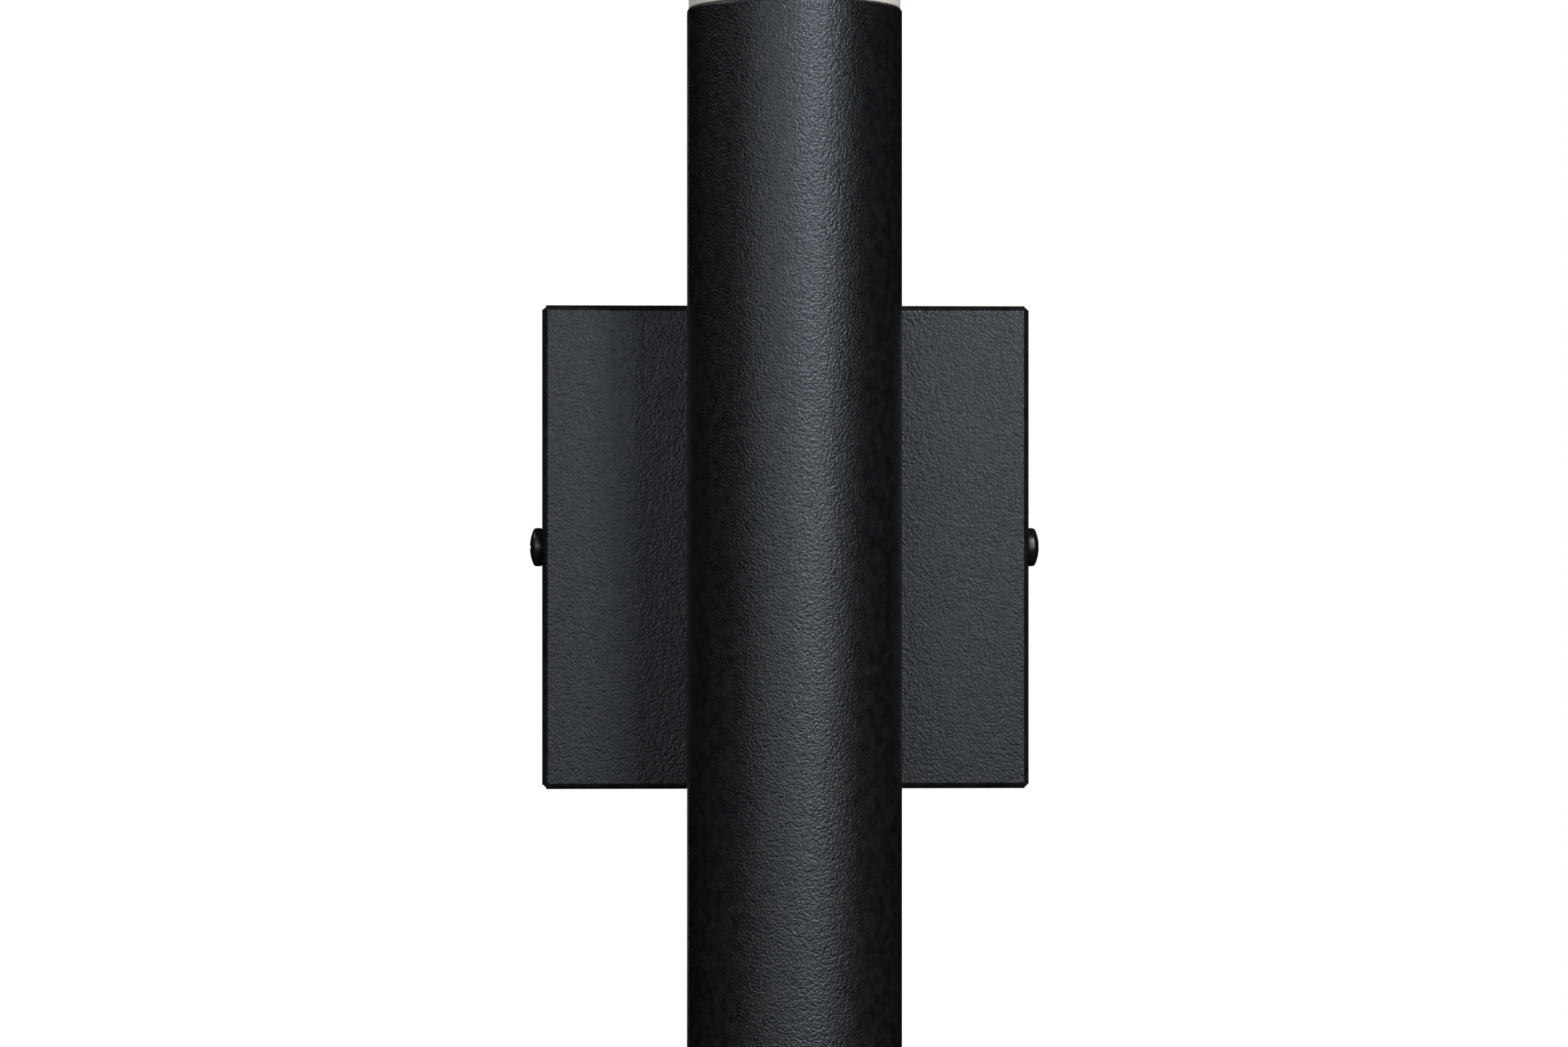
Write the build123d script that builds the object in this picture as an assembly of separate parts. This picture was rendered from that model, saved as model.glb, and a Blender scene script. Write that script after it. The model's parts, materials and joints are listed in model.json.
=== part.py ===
from build123d import *
from math import radians, sin, cos, tan, sqrt
import os

# Tube wall light: a black sleeve with an opal diffuser at each end, carried by an arm on a square canopy.
# Millimetres. The wall is the plane Y = 0, the light's front faces -Y, and the sleeve stands along Z.
# The origin is the middle of the wall plane, between the two slots of the wall bracket.

# ---- Canopy: a folded steel box, open at the back, whose edges meet the wall
canopy_width = 120.0
canopy_height = 119.0
canopy_depth = 22.0
canopy_sheet = 1.2
canopy_bend = 1.0             # inside radius of the four front bends
groove_width = 1.3            # open groove down each corner, where two flanges meet
groove_depth = 1.0            # of that groove, from the corner inwards

# ---- Wall bracket: a steel strap with a bent ear at each end
bracket_sheet = 1.5
bracket_height = 24.0
bracket_bend = 1.2            # inside radius where an ear turns
ear_width = 13.0
ear_gap = 0.4                 # between an ear and the canopy's side
ear_screw_from_wall = 13.0
collar_length = 1.5           # drawn collar round each threaded hole, for more thread
collar_wall = 1.7
box_spacing_narrow = 69.85    # screw spacings of the wall boxes that the slots fit
box_spacing_wide = 88.9
slot_width = 4.8
nipple_hole = 10.5
ground_screw_offset = 20.0    # from the bracket's middle

# ---- Sleeve: the long tube
sleeve_diameter = 50.8
sleeve_wall = 1.5
sleeve_length = 254.0
rim_ease = 0.4                # chamfer on the outer edge of each end
rim_lead_in = 0.3             # on the inner edge, for the seal

# ---- Arm between the canopy and the sleeve, with the plates that it is screwed up against
arm_length = 20.0
arm_width = 26.0
arm_height = 64.0
arm_wall = 2.5
arm_floor = 5.0               # metal left under the saddle
arm_boss_wall = 2.7           # round each screw
arm_screw_spacing = 44.0
backing_sheet = 1.5
backing_width = 40.0
backing_height = 70.0
backing_corner = 4.0
clamp_thickness = 6.0
clamp_width = 26.0
clamp_height = 62.0
clamp_corner = 3.0
lock_washer_thickness = 1.2
lock_washer_band = 2.0
lock_washer_split = 0.8

# ---- Wire way: a snap bushing in the canopy and one hole through everything behind the driver
wire_hole = 10.0
bushing_wall = 1.0
bushing_flange = 2.0          # that the flange stands out past the hole
bushing_flange_thickness = 1.2
bushing_nose = 2.5            # that stands out in front of the canopy's sheet
bushing_lug = 0.5             # height of the snap ridge
bushing_lug_width = 1.2

# ---- Driver, and the channel that it is screwed to
tray_sheet = 1.5
tray_side = 6.0
tray_overhang = 4.0           # past the driver's ears
driver_width = 26.0
driver_thickness = 18.0
driver_length = 84.0
driver_round = 2.0
driver_ear = 8.0
driver_ear_thickness = 2.0
driver_ear_screw_offset = 8.0
driver_side_gap = 0.5
tray_screw_spacing = 24.0

# ---- Light engine at each end
heat_sink_disc = 8.0
heat_sink_fin_length = 14.0
heat_sink_core = 14.0
fin_count = 12
fin_thickness = 1.2
pad_thickness = 0.5
board_thickness = 1.6
board_screw_circle = 32.0
board_screw_count = 3
chip_circle = 20.0
chip_count = 12               # places on the circle; the one nearest the leads stays empty
chip_size = 3.0
chip_height = 0.7
terminal_width = 6.0
terminal_depth = 5.0
terminal_height = 3.2
lead_diameter = 1.4
lead_spacing = 2.6
lead_bend = 2.4
lead_run = 3.6                # level stretch into the terminal
lead_hole = 6.0
lead_rise = 1.4               # of the leads over the driver's ear

# ---- Diffuser and its seal
diffuser_inset = 0.4          # its side stands this far inside the sleeve's
diffuser_wall = 4.0
diffuser_length = 60.0        # outside the sleeve
diffuser_cap = 4.0
diffuser_round = 2.0          # outer edge of the closed end
spigot_length = 16.0
spigot_end_gap = 0.5          # between the spigot and the heat sink
seal_section = 1.5
seal_from_rim = 8.0
seal_groove_side = 0.2

# ---- Screws, by thread: shank and head
m5_diameter = 5.0
m5_head = 9.5
m5_head_height = 3.1
m4_diameter = 4.0
m4_head = 8.0
m4_head_height = 3.0
m3_diameter = 3.0
m3_head = 5.5
m3_head_height = 1.9
pan_edge_angle = 26.0         # slope of a pan head's dome where it meets the rim, degrees
pan_edge_round = 0.4
countersink_angle = 90.0
recess_reach = 0.5            # cross recess: reach, blade and depth as parts of the head's radius
recess_blade = 0.2
recess_depth = 0.36
canopy_screw_tip = 3.0        # of a canopy screw past the ear's collar
arm_screw_tip_gap = 1.4       # from an arm screw's tip to the clamp plate's flat face
heat_sink_screw_grip = 6.0    # inside the heat sink
board_screw_grip = 5.0
driver_screw_tip = 2.0
tray_screw_grip = 3.5
ground_screw_tip_gap = 0.3    # from its tip to the wall plane
ground_washer_thickness = 0.8
ground_washer_diameter = 10.0

# ---- Clearances, all on the radius
thread_clearance = 0.05       # a shank in its thread
hole_clearance = 0.3          # a shank in a plain hole
bushing_clearance = 0.1
heat_sink_clearance = 0.15
spigot_clearance = 0.3
seal_clearance = 0.05
board_clearance = 0.8
cut_over = 1.0                # how far a cutting tool runs past what it cuts

# ---- Places that follow
front_y = -canopy_depth
inner_front_y = front_y + canopy_sheet
backing_y = inner_front_y + backing_sheet
sleeve_radius = sleeve_diameter / 2
bore_radius = sleeve_radius - sleeve_wall
axis_y = front_y - arm_length - sleeve_radius
rim_z = sleeve_length / 2
clamp_face_y = axis_y + bore_radius - clamp_thickness
tray_face_y = clamp_face_y - tray_sheet
lead_y = tray_face_y - driver_ear_thickness - lead_rise
bracket_width = canopy_width - 2 * (canopy_sheet + ear_gap)
ground_seat_y = -bracket_sheet - collar_length
heat_sink_z = rim_z - spigot_length - spigot_end_gap
board_z = heat_sink_z + pad_thickness
board_top_z = board_z + board_thickness
diffuser_radius = sleeve_radius - diffuser_inset
diffuser_bore = diffuser_radius - diffuser_wall
spigot_radius = bore_radius - spigot_clearance
board_radius = diffuser_bore - board_clearance
heat_sink_radius = bore_radius - heat_sink_clearance
arm_screw_places = (-arm_screw_spacing / 2, arm_screw_spacing / 2)
tray_screw_places = (-tray_screw_spacing / 2, tray_screw_spacing / 2)


# ---- Small shapes that several pieces use
def bar_y(diameter, y_from, y_to, x=0.0, z=0.0):
    """A round bar along Y."""
    return Pos(x, (y_from + y_to) / 2, z) * Rot(90, 0, 0) * Cylinder(diameter / 2, abs(y_to - y_from))


def bar_x(diameter, x_from, x_to, y=0.0, z=0.0):
    """A round bar along X."""
    return Pos((x_from + x_to) / 2, y, z) * Rot(0, 90, 0) * Cylinder(diameter / 2, abs(x_to - x_from))


def bar_z(diameter, z_from, z_to, x=0.0, y=0.0):
    """A round bar along Z."""
    return Pos(x, y, (z_from + z_to) / 2) * Cylinder(diameter / 2, abs(z_to - z_from))


def block(x_from, x_to, y_from, y_to, z_from, z_to):
    """A square block between two corners."""
    middle = Pos((x_from + x_to) / 2, (y_from + y_to) / 2, (z_from + z_to) / 2)
    return middle * Box(abs(x_to - x_from), abs(y_to - y_from), abs(z_to - z_from))


def plate_y(sketch, y_from, y_to):
    """A flat outline drawn in X and Z, made solid between two places on Y."""
    y_back = max(y_from, y_to)
    return extrude(Plane.XZ.offset(-y_back) * sketch, amount=abs(y_to - y_from))


def on_circle(diameter, count):
    """Points on a circle about the sleeve's axis, as X, Y and the angle from +X. The last is nearest the wall."""
    points = []
    for i in range(count):
        angle = 90 + 360 * (i + 1) / count
        x = diameter / 2 * cos(radians(angle))
        y = axis_y + diameter / 2 * sin(radians(angle))
        points.append((x, y, angle))
    return points


def thread_hole(diameter):
    """Diameter of the hole that a screw bites in."""
    return diameter + 2 * thread_clearance


def plain_hole(diameter):
    """Diameter of the hole that a screw passes freely."""
    return diameter + 2 * hole_clearance


def cross_recess(head, top):
    """The cross cut in a screw's head whose top is at Z = top."""
    reach = recess_reach * head / 2
    blade = recess_blade * head / 2
    depth = recess_depth * head / 2
    cross = Box(2 * reach, blade, 2 * depth) + Box(blade, 2 * reach, 2 * depth)
    funnel = Pos(0, 0, -depth / 2) * Cone(reach / 2, reach, depth)
    return Pos(0, 0, top) * (cross & funnel)


def pan_screw(diameter, length, head, head_height, edge_round=0.0):
    """A pan head screw on Z: the head stands on Z = 0 and the shank goes down from it."""
    rise = head / 2 * tan(radians(pan_edge_angle) / 2)
    dome_radius = (rise ** 2 + (head / 2) ** 2) / (2 * rise)
    half_way = head / 4
    half_way_z = head_height - dome_radius + sqrt(dome_radius ** 2 - half_way ** 2)
    rim = head_height - rise
    outline = Polyline((0, head_height), (0, 0), (head / 2, 0), (head / 2, rim))
    dome = ThreePointArc((head / 2, rim), (half_way, half_way_z), (0, head_height))
    half = make_face(Plane.XZ * (outline + dome))
    if edge_round:
        corner = half.vertices().sort_by_distance((head / 2, 0, rim))[0]
        half = fillet(corner, edge_round)
    return revolve(half, Axis.Z) + bar_z(diameter, -length, 0)


def countersunk_screw(diameter, length, head):
    """A countersunk screw on Z: the flat head is flush with Z = 0 and the shank goes down from it."""
    depth = (head - diameter) / 2 / tan(radians(countersink_angle) / 2)
    return Pos(0, 0, -depth / 2) * Cone(diameter / 2, head / 2, depth) + bar_z(diameter, -length, 0)


def countersink(diameter, head, y):
    """The cone cut for a countersunk head that is flush with a face at Y = y and sinks towards the wall."""
    depth = (head - diameter) / 2 / tan(radians(countersink_angle) / 2)
    return Pos(0, y + depth / 2, 0) * Rot(90, 0, 0) * Cone(diameter / 2, head / 2, depth)


# ---- Canopy and what holds it to the wall
def canopy():
    """Folded box. Its four flanges bend back from the front face, and meet in a shallow open groove."""
    outer = block(-canopy_width / 2, canopy_width / 2, front_y, 0, -canopy_height / 2, canopy_height / 2)
    outer = fillet(outer.faces().sort_by(Axis.Y)[0].edges(), canopy_bend + canopy_sheet)
    inner_x = canopy_width / 2 - canopy_sheet
    inner_z = canopy_height / 2 - canopy_sheet
    inner = block(-inner_x, inner_x, inner_front_y, cut_over, -inner_z, inner_z)
    inner = fillet(inner.faces().sort_by(Axis.Y)[0].edges(), canopy_bend)
    shell = outer - inner
    for side_x in (-1, 1):
        for side_z in (-1, 1):
            corner = Pos(side_x * canopy_width / 2, front_y / 2, side_z * canopy_height / 2)
            lean = -45 * side_x * side_z
            shell -= corner * Rot(0, lean, 0) * Box(2 * groove_depth, canopy_depth + 2 * cut_over, groove_width)
    shell -= bar_x(plain_hole(m5_diameter), -canopy_width, canopy_width, -ear_screw_from_wall)
    for z in arm_screw_places:
        shell -= bar_y(plain_hole(m5_diameter), front_y - cut_over, inner_front_y + cut_over, 0, z)
    shell -= bar_y(bushing_hole(), front_y - cut_over, inner_front_y + cut_over)
    return shell


def bushing_hole():
    """Diameter of the hole that the bushing snaps into."""
    return wire_hole + 2 * (bushing_wall + bushing_clearance)


def wall_bracket():
    """Strap with two slots for the wall box, a middle hole for a nipple, and an ear with a drawn thread at each end."""
    reach = ear_screw_from_wall + ear_width / 2
    outer = Pos(0, -reach / 2) * Rectangle(bracket_width, reach)
    outer = fillet(outer.vertices().group_by(Axis.Y)[-1], bracket_bend + bracket_sheet)
    inside = bracket_width - 2 * bracket_sheet
    inner = Pos(0, -bracket_sheet - reach / 2) * Rectangle(inside, reach)
    inner = fillet(inner.vertices().group_by(Axis.Y)[-1], bracket_bend)
    folded = extrude(outer - inner, amount=bracket_height / 2, both=True)
    foot = bracket_sheet + bracket_bend
    side = Pos(-foot / 2, 0) * Rectangle(foot, bracket_height)
    side += Pos(-ear_screw_from_wall / 2, 0) * Rectangle(ear_screw_from_wall, ear_width)
    side += Pos(-ear_screw_from_wall, 0) * Circle(ear_width / 2)
    bracket = folded & extrude(Plane.YZ * side, amount=bracket_width, both=True)
    ear_inside = bracket_width / 2 - bracket_sheet
    collar = thread_hole(m5_diameter) + 2 * collar_wall
    for side_x in (-1, 1):
        bracket += bar_x(collar, side_x * (ear_inside - collar_length), side_x * ear_inside, -ear_screw_from_wall)
    collar = thread_hole(m4_diameter) + 2 * collar_wall
    bracket += bar_y(collar, ground_seat_y, -bracket_sheet, -ground_screw_offset)
    bracket -= bar_x(thread_hole(m5_diameter), -bracket_width, bracket_width, -ear_screw_from_wall)
    slot_offset = (box_spacing_narrow + box_spacing_wide) / 4
    slot_length = (box_spacing_wide - box_spacing_narrow) / 2 + slot_width
    for side_x in (-1, 1):
        slot = Pos(side_x * slot_offset, 0) * SlotOverall(slot_length, slot_width)
        bracket -= plate_y(slot, -bracket_sheet - cut_over, cut_over)
    bracket -= bar_y(nipple_hole, -bracket_sheet - cut_over, cut_over)
    bracket -= bar_y(thread_hole(m4_diameter), ground_seat_y - cut_over, cut_over, -ground_screw_offset)
    return bracket


def ground_screw():
    """Screw for the earth wire, down on its washer."""
    head_y = ground_seat_y - ground_washer_thickness
    screw = pan_screw(m4_diameter, -head_y - ground_screw_tip_gap, m4_head, m4_head_height)
    return Pos(-ground_screw_offset, head_y, 0) * Rot(90, 0, 0) * screw


def ground_washer():
    """Washer under the ground screw's head, down on the drawn collar."""
    y_front = ground_seat_y - ground_washer_thickness
    ring = bar_y(ground_washer_diameter, y_front, ground_seat_y, -ground_screw_offset)
    return ring - bar_y(plain_hole(m4_diameter), y_front - cut_over, ground_seat_y + cut_over, -ground_screw_offset)


def canopy_screw(side_x):
    """Pan head screw through the canopy's side into the bracket's ear."""
    grip = canopy_sheet + ear_gap + bracket_sheet + collar_length + canopy_screw_tip
    screw = pan_screw(m5_diameter, grip, m5_head, m5_head_height, pan_edge_round)
    screw -= cross_recess(m5_head, m5_head_height)
    return Pos(side_x * canopy_width / 2, -ear_screw_from_wall, 0) * Rot(0, side_x * 90, 0) * screw


# ---- Arm, and what it is screwed up against
def backing_plate():
    """Steel plate behind the canopy's front, which takes the arm screws' load."""
    plate = plate_y(RectangleRounded(backing_width, backing_height, backing_corner), inner_front_y, backing_y)
    for z in arm_screw_places:
        plate -= bar_y(plain_hole(m5_diameter), inner_front_y - cut_over, backing_y + cut_over, 0, z)
    return plate - bar_y(bushing_hole(), inner_front_y - cut_over, backing_y + cut_over)


def wire_bushing():
    """Nylon snap bushing that keeps the supply wires off the sheet's edge."""
    barrel = wire_hole + 2 * bushing_wall
    nose_y = front_y - bushing_nose
    flange_y = backing_y + bushing_flange_thickness
    bushing = bar_y(barrel, nose_y, backing_y)
    bushing += bar_y(bushing_hole() + 2 * bushing_flange, backing_y, flange_y)
    bushing += bar_y(bushing_hole() + 2 * bushing_lug, front_y - bushing_lug_width, front_y)
    return bushing - bar_y(wire_hole, nose_y - cut_over, flange_y + cut_over)


def arm():
    """Cast arm with an oblong outline, hollow from the canopy's side, with a saddle that the sleeve beds in."""
    body = plate_y(SlotOverall(arm_height, arm_width, rotation=90), front_y, axis_y)
    body -= Pos(0, axis_y, 0) * Cylinder(sleeve_radius, arm_height + 2 * cut_over)
    floor_y = front_y - arm_length + arm_floor
    hollow = plate_y(
        SlotOverall(arm_height - 2 * arm_wall, arm_width - 2 * arm_wall, rotation=90), front_y + cut_over, floor_y)
    boss = plain_hole(m5_diameter) + 2 * arm_boss_wall
    for z in arm_screw_places:
        hollow -= bar_y(boss, floor_y - cut_over, front_y + 2 * cut_over, 0, z)
    body -= hollow
    for z in arm_screw_places:
        body -= bar_y(plain_hole(m5_diameter), axis_y, front_y + cut_over, 0, z)
    return body - bar_y(wire_hole, axis_y, front_y + cut_over)


def arm_screws():
    """Two long screws from inside the canopy, through the arm and the sleeve's wall, into the clamp plate."""
    head_y = backing_y + lock_washer_thickness
    length = head_y - clamp_face_y - arm_screw_tip_gap
    screw = Rot(-90, 0, 0) * pan_screw(m5_diameter, length, m5_head, m5_head_height)
    return Compound([Pos(0, head_y, z) * screw for z in arm_screw_places])


def arm_lock_washers():
    """Split spring washers under the arm screws' heads."""
    inner = plain_hole(m5_diameter)
    y_front = backing_y + lock_washer_thickness
    washers = []
    for z in arm_screw_places:
        ring = bar_y(inner + 2 * lock_washer_band, backing_y, y_front, 0, z)
        ring -= bar_y(inner, backing_y - cut_over, y_front + cut_over, 0, z)
        split = Pos(inner / 2 + lock_washer_band / 2, (backing_y + y_front) / 2, z) * Rot(30, 0, 0)
        ring -= split * Box(lock_washer_band + inner / 2, 3 * lock_washer_thickness, lock_washer_split)
        washers.append(ring)
    return Compound(washers)


def clamp_plate():
    """Plate inside the sleeve, curved to its bore on one side, flat on the other, tapped for the arm screws."""
    outline = RectangleRounded(clamp_width, clamp_height, clamp_corner)
    plate = plate_y(outline, clamp_face_y, clamp_face_y + clamp_thickness)
    plate &= Pos(0, axis_y, 0) * Cylinder(bore_radius, clamp_height + 2 * cut_over)
    back_y = clamp_face_y + clamp_thickness
    for z in arm_screw_places:
        plate -= bar_y(thread_hole(m5_diameter), clamp_face_y - cut_over, back_y + cut_over, 0, z)
    for z in tray_screw_places:
        plate -= bar_y(thread_hole(m3_diameter), clamp_face_y - cut_over, back_y + cut_over, 0, z)
    return plate - bar_y(wire_hole, clamp_face_y - cut_over, back_y + cut_over)


# ---- Sleeve and the driver inside it
def sleeve():
    """Tube with eased ends and the holes of its rear side."""
    tube = Cylinder(sleeve_radius, sleeve_length)
    tube = chamfer(tube.edges().filter_by(GeomType.CIRCLE), rim_ease)
    bore = Cylinder(bore_radius, sleeve_length)
    for side_z in (-1, 1):
        lead_in = Cone(bore_radius, bore_radius + rim_lead_in, rim_lead_in)
        bore += Rot(0, 90 - 90 * side_z, 0) * Pos(0, 0, rim_z - rim_lead_in / 2) * lead_in
    tube = Pos(0, axis_y, 0) * (tube - bore)
    wall_from = axis_y + bore_radius / 2
    wall_to = axis_y + sleeve_radius + cut_over
    for z in arm_screw_places:
        tube -= bar_y(plain_hole(m5_diameter), wall_from, wall_to, 0, z)
    for z in (-heat_sink_screw_z(), heat_sink_screw_z()):
        tube -= bar_y(plain_hole(m3_diameter), wall_from, wall_to, 0, z)
    return tube - bar_y(wire_hole, wall_from, wall_to)


def driver_ear_screws():
    """Places of the driver's two screws, X and Z, one at each end on opposite sides."""
    z = driver_length / 2 + driver_ear / 2
    return [(driver_ear_screw_offset, z), (-driver_ear_screw_offset, -z)]


def driver_tray():
    """Aluminium channel on the clamp plate's flat face."""
    inside = driver_width + 2 * driver_side_gap
    outside = inside + 2 * tray_sheet
    length = driver_length + 2 * (driver_ear + tray_overhang)
    outer_y = tray_face_y - tray_side
    section = Pos(0, (clamp_face_y + outer_y) / 2) * Rectangle(outside, clamp_face_y - outer_y)
    section = fillet(section.vertices().group_by(Axis.Y)[-1], tray_sheet)
    section -= Pos(0, (tray_face_y + outer_y - cut_over) / 2) * Rectangle(inside, tray_face_y - outer_y + cut_over)
    tray = extrude(section, amount=length / 2, both=True)
    for z in tray_screw_places:
        tray -= bar_y(plain_hole(m3_diameter), tray_face_y - cut_over, clamp_face_y + cut_over, 0, z)
        tray -= Pos(0, 0, z) * countersink(m3_diameter, m3_head, tray_face_y)
    for x, z in driver_ear_screws():
        tray -= bar_y(thread_hole(m3_diameter), tray_face_y - cut_over, clamp_face_y + cut_over, x, z)
    for z in arm_screw_places:
        tray -= bar_y(plain_hole(m5_diameter), tray_face_y - cut_over, clamp_face_y + cut_over, 0, z)
    return tray - bar_y(wire_hole, tray_face_y - cut_over, clamp_face_y + cut_over)


def tray_screws():
    """Two flush screws that hold the channel to the clamp plate, under the driver."""
    screw = Rot(90, 0, 0) * countersunk_screw(m3_diameter, tray_sheet + tray_screw_grip, m3_head)
    return Compound([Pos(0, tray_face_y, z) * screw for z in tray_screw_places])


def driver():
    """Potted driver in a plastic case, with a thin ear at each end."""
    case = block(-driver_width / 2, driver_width / 2, tray_face_y - driver_thickness, tray_face_y,
                 -driver_length / 2, driver_length / 2)
    case = fillet(case.edges().filter_by(Axis.Z).group_by(Axis.Y)[0], driver_round)
    ear_z = driver_length / 2 + driver_ear
    case += block(-driver_width / 2, driver_width / 2, tray_face_y - driver_ear_thickness, tray_face_y, -ear_z, ear_z)
    for x, z in driver_ear_screws():
        case -= bar_y(plain_hole(m3_diameter), tray_face_y - driver_thickness, tray_face_y + cut_over, x, z)
    return case


def driver_screws():
    """Screws through the driver's ears into the channel."""
    length = driver_ear_thickness + tray_sheet + driver_screw_tip
    screw = Rot(90, 0, 0) * pan_screw(m3_diameter, length, m3_head, m3_head_height)
    seat_y = tray_face_y - driver_ear_thickness
    return Compound([Pos(x, seat_y, z) * screw for x, z in driver_ear_screws()])


# ---- Light engine of the upper end. The lower end has the same pieces upside down
def heat_sink_screw_z():
    """Height of the screw that holds a heat sink from the sleeve's rear."""
    return heat_sink_z - heat_sink_disc / 2


def engine_holes(z_from, z_to):
    """What passes through the pad and the board, and into the heat sink: the leads' hole."""
    return bar_z(lead_hole, z_from, z_to, 0, lead_y)


def heat_sink():
    """Turned aluminium disc on a core with radial fins."""
    disc_z = heat_sink_z - heat_sink_disc
    fin_z = disc_z - heat_sink_fin_length
    fins = Cylinder(heat_sink_core / 2, heat_sink_fin_length)
    for i in range(fin_count):
        angle = 360 * (i + 0.5) / fin_count + 90
        fin = Pos(heat_sink_radius / 2, 0, 0) * Box(heat_sink_radius, fin_thickness, heat_sink_fin_length)
        fins += Rot(0, 0, angle) * fin
    fins &= Cylinder(heat_sink_radius, heat_sink_fin_length)
    body = Pos(0, axis_y, (fin_z + disc_z) / 2) * fins
    body += bar_z(2 * heat_sink_radius, disc_z, heat_sink_z, 0, axis_y)
    body -= engine_holes(disc_z - cut_over, heat_sink_z + cut_over)
    for x, y, _ in on_circle(board_screw_circle, board_screw_count):
        body -= bar_z(thread_hole(m3_diameter), heat_sink_z - board_screw_grip - cut_over, heat_sink_z + cut_over, x, y)
    grip_y = axis_y + sleeve_radius - sleeve_wall - heat_sink_screw_grip - cut_over
    return body - bar_y(thread_hole(m3_diameter), grip_y, axis_y + sleeve_radius, 0, heat_sink_screw_z())


def heat_sink_screw():
    """Screw through the sleeve's rear into the heat sink's disc."""
    length = sleeve_wall + heat_sink_screw_grip
    screw = Rot(-90, 0, 0) * pan_screw(m3_diameter, length, m3_head, m3_head_height)
    return Pos(0, axis_y + sleeve_radius, heat_sink_screw_z()) * screw


def board_disc(z_from, z_to):
    """A disc of the board's outline with the leads' hole and the board screws' holes."""
    disc = bar_z(2 * board_radius, z_from, z_to, 0, axis_y) - engine_holes(z_from - cut_over, z_to + cut_over)
    for x, y, _ in on_circle(board_screw_circle, board_screw_count):
        disc -= bar_z(plain_hole(m3_diameter), z_from - cut_over, z_to + cut_over, x, y)
    return disc


def thermal_pad():
    """Soft pad that carries the board's heat into the heat sink."""
    return board_disc(heat_sink_z, board_z)


def led_board():
    """Aluminium-core circuit board."""
    return board_disc(board_z, board_top_z)


def led_chips():
    """Light-emitting packages on a circle, one place left empty for the terminal."""
    chips = []
    for x, y, angle in on_circle(chip_circle, chip_count)[:-1]:
        chips.append(Pos(x, y, board_top_z + chip_height / 2) * Rot(0, 0, angle) * Box(chip_size, chip_size, chip_height))
    return Compound(chips)


def terminal_back_y():
    """Face of the terminal that the leads enter."""
    return lead_y - lead_bend - lead_run


def led_terminal():
    """Push-in terminal on the board."""
    back_y = terminal_back_y()
    return block(-terminal_width / 2, terminal_width / 2, back_y - terminal_depth, back_y,
                 board_top_z, board_top_z + terminal_height)


def board_screws():
    """Screws that press the board on its pad."""
    length = board_top_z - heat_sink_z + board_screw_grip
    screw = pan_screw(m3_diameter, length, m3_head, m3_head_height)
    places = on_circle(board_screw_circle, board_screw_count)
    return Compound([Pos(x, y, board_top_z) * screw for x, y, _ in places])


def led_leads():
    """Two leads from the driver's end, straight up through the heat sink, over and into the terminal."""
    turn_y = lead_y - lead_bend
    level_z = board_top_z + terminal_height / 2
    turn_z = level_z - lead_bend
    leads = []
    for x in (-lead_spacing / 2, lead_spacing / 2):
        section = Pos(x, lead_y, turn_z) * Circle(lead_diameter / 2)
        lead = revolve(section, Axis((x, turn_y, turn_z), (1, 0, 0)), 90)
        lead += bar_z(lead_diameter, driver_length / 2, turn_z, x, lead_y)
        lead += bar_y(lead_diameter, terminal_back_y(), turn_y, x, level_z)
        leads.append(lead)
    return Compound(leads)


# ---- Diffuser
def seal_radius():
    """Outer radius of the seal, just inside the sleeve's bore."""
    return bore_radius - seal_clearance


def diffuser():
    """Opal cup, closed at its outer end, with a stepped spigot that goes into the sleeve and a groove for the seal."""
    top_z = rim_z + diffuser_length
    spigot_z = rim_z - spigot_length
    body = bar_z(2 * diffuser_radius, rim_z, top_z)
    body = fillet(body.faces().sort_by(Axis.Z)[-1].edges(), diffuser_round)
    body += bar_z(2 * spigot_radius, spigot_z, rim_z)
    body -= bar_z(2 * diffuser_bore, spigot_z - cut_over, top_z - diffuser_cap)
    groove_from = rim_z - seal_from_rim - seal_section / 2 - seal_groove_side
    groove_to = rim_z - seal_from_rim + seal_section / 2 + seal_groove_side
    ring = bar_z(2 * sleeve_radius, groove_from, groove_to)
    ring -= bar_z(2 * (seal_radius() - seal_section), groove_from, groove_to)
    return Pos(0, axis_y, 0) * (body - ring)


def diffuser_seal():
    """Square-cut rubber ring in the spigot's groove, which grips the sleeve's bore."""
    z_from = rim_z - seal_from_rim - seal_section / 2
    ring = bar_z(2 * seal_radius(), z_from, z_from + seal_section, 0, axis_y)
    inner = 2 * (seal_radius() - seal_section)
    return ring - bar_z(inner, z_from - cut_over, z_from + seal_section + cut_over, 0, axis_y)


# ---- Every piece, by name
single_pieces = {
    "canopy": canopy(),
    "wall_bracket": wall_bracket(),
    "ground_screw": ground_screw(),
    "ground_washer": ground_washer(),
    "canopy_screw_left": canopy_screw(-1),
    "canopy_screw_right": canopy_screw(1),
    "backing_plate": backing_plate(),
    "wire_bushing": wire_bushing(),
    "arm": arm(),
    "arm_screws": arm_screws(),
    "arm_lock_washers": arm_lock_washers(),
    "clamp_plate": clamp_plate(),
    "sleeve": sleeve(),
    "driver_tray": driver_tray(),
    "tray_screws": tray_screws(),
    "driver": driver(),
    "driver_screws": driver_screws(),
}
end_pieces = {
    "heat_sink": heat_sink(),
    "heat_sink_screw": heat_sink_screw(),
    "thermal_pad": thermal_pad(),
    "led_board": led_board(),
    "led_chips": led_chips(),
    "led_terminal": led_terminal(),
    "board_screws": board_screws(),
    "led_leads": led_leads(),
    "diffuser": diffuser(),
    "diffuser_seal": diffuser_seal(),
}

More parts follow.
